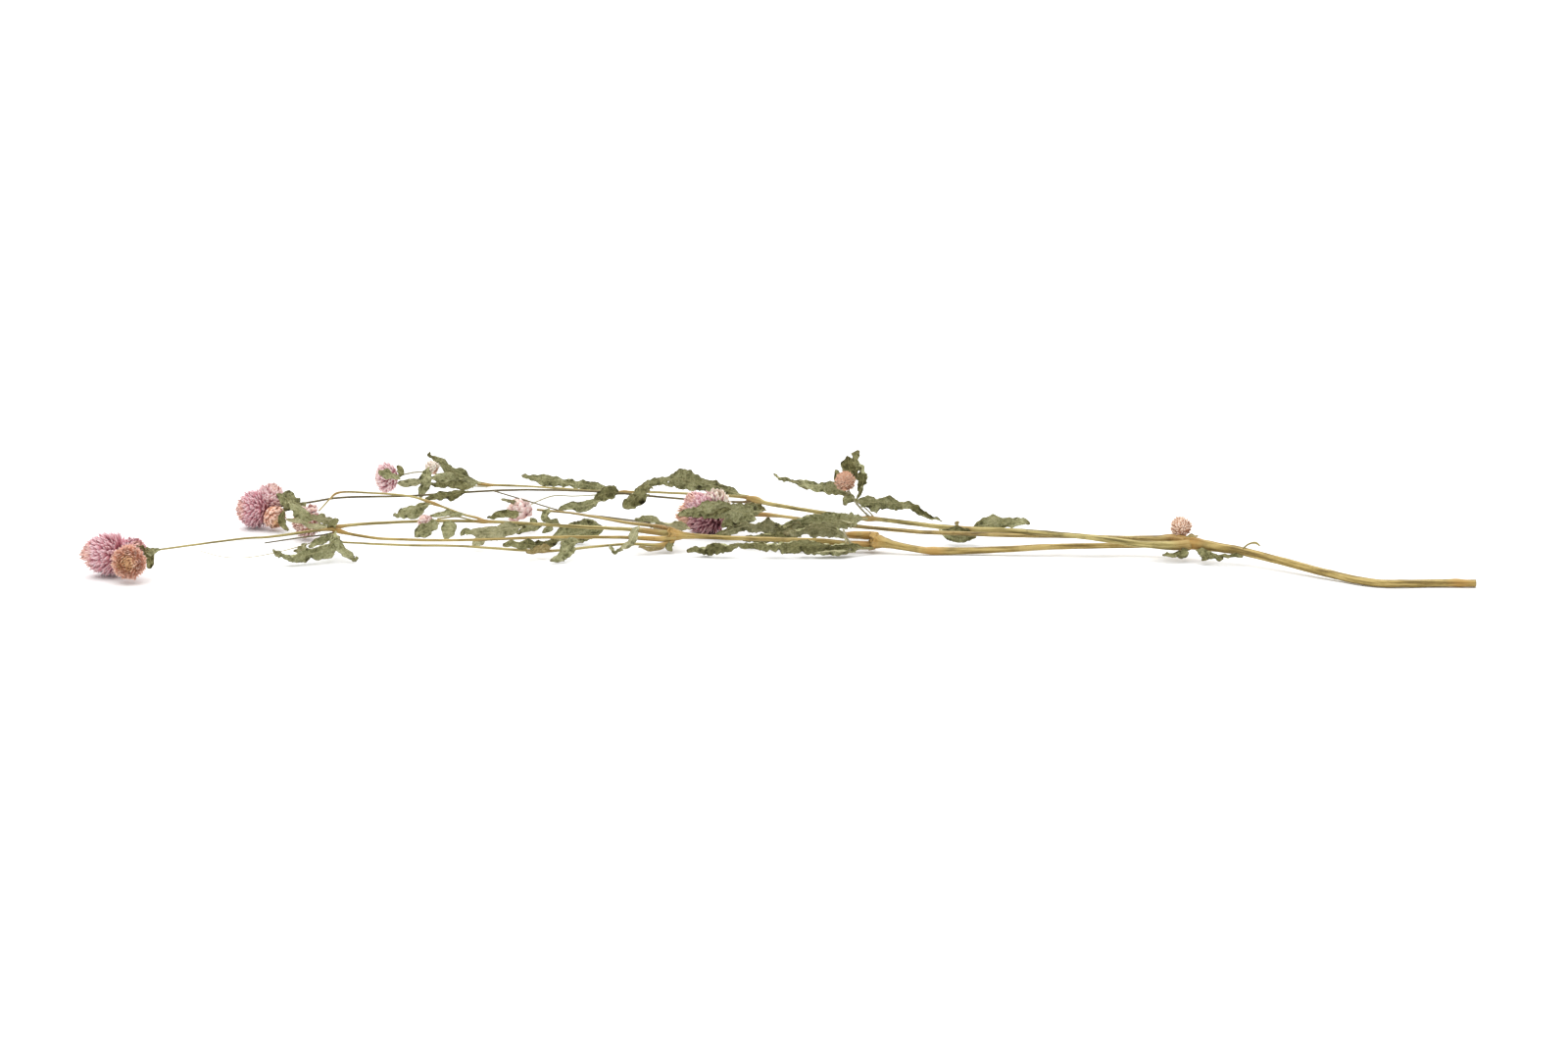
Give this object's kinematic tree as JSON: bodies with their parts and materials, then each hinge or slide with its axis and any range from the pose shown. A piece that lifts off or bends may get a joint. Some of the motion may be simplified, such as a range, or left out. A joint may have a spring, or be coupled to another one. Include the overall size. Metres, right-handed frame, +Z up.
{
  "type": "dried globe amaranth flower",
  "caption": "Cut and dried branched stem of globe amaranth with papery globe-shaped flower heads and curled dry leaves, for dried arrangements and display.",
  "frame": {"origin": "centre of the plant's box, on the surface that it lies on", "axes": "+X towards the cut end of the main stem, +Z up, -Y towards the side that most leaves face"},
  "size_m": [0.6022, 0.1648, 0.0391],
  "materials": {
    "stem": "dry ribbed stem, golden olive with darker streaks",
    "stalk": "thin dry stalk, faintly hairy",
    "pink_bracts": "papery overlapping bracts, dusty pink with peach tips, slightly glossy",
    "pale_bracts": "papery pale beige bracts, hairy at the base",
    "leaf": "dry crinkled leaf, matt grey green",
    "dark_leaf": "dry folded leaf, dark olive",
    "pale_leaf": "dry leaf underside, pale downy green"
  },
  "bodies": {
    "root": {"main_stem": "stem", "lower_branch": "stem", "upper_branch": "stem", "middle_branch": "stem", "front_stem": "stem", "cut_stub": "stem", "fan_stub": "stem", "fan_stem_back": "stem", "fan_stem_middle": "stem", "fan_stem_front": "stem", "fan_twig": "stalk", "side_shoot": "stem", "back_stem": "stem", "back_twig": "stalk", "beige_bud_stalk": "stalk", "tip_stem": "stem", "oval_head_stalk": "stalk", "hairy_bud_stalk": "stalk", "upright_stalk": "stalk", "wrapped_bud_stalk": "stalk", "tip_head": "pink_bracts", "tip_side_head": "pink_bracts", "double_head": "pink_bracts", "double_head_upper": "pink_bracts", "double_head_lower": "pink_bracts", "pale_head": "pink_bracts", "oval_head": "pink_bracts", "hairy_bud": "pale_bracts", "beige_bud": "pale_bracts", "upright_bud": "pink_bracts", "middle_head": "pink_bracts", "wrapped_bud": "pink_bracts", "joint_bud": "pale_bracts", "tip_leaf": "leaf", "link_leaf": "leaf", "crescent_leaf": "dark_leaf", "drooping_leaf": "dark_leaf", "upright_leaf": "leaf", "spread_leaf": "leaf", "hanging_leaf": "leaf", "shoot_leaf": "dark_leaf", "pale_leaf": "pale_leaf", "bud_leaf": "dark_leaf", "broad_leaf": "leaf", "pointed_leaf": "dark_leaf", "long_back_leaf": "dark_leaf", "round_leaf": "dark_leaf", "olive_leaf": "leaf", "crest_leaf": "leaf", "ribbed_leaf": "pale_leaf", "cover_leaf": "leaf", "middle_leaf": "pale_leaf", "crossing_leaf": "leaf", "folded_leaf": "pale_leaf", "bottom_leaf": "dark_leaf", "tall_leaf": "dark_leaf", "crinkled_leaf": "leaf", "bud_base_leaf": "leaf", "touching_leaf": "dark_leaf", "branch_leaf": "leaf"}
  },
  "joints": []
}
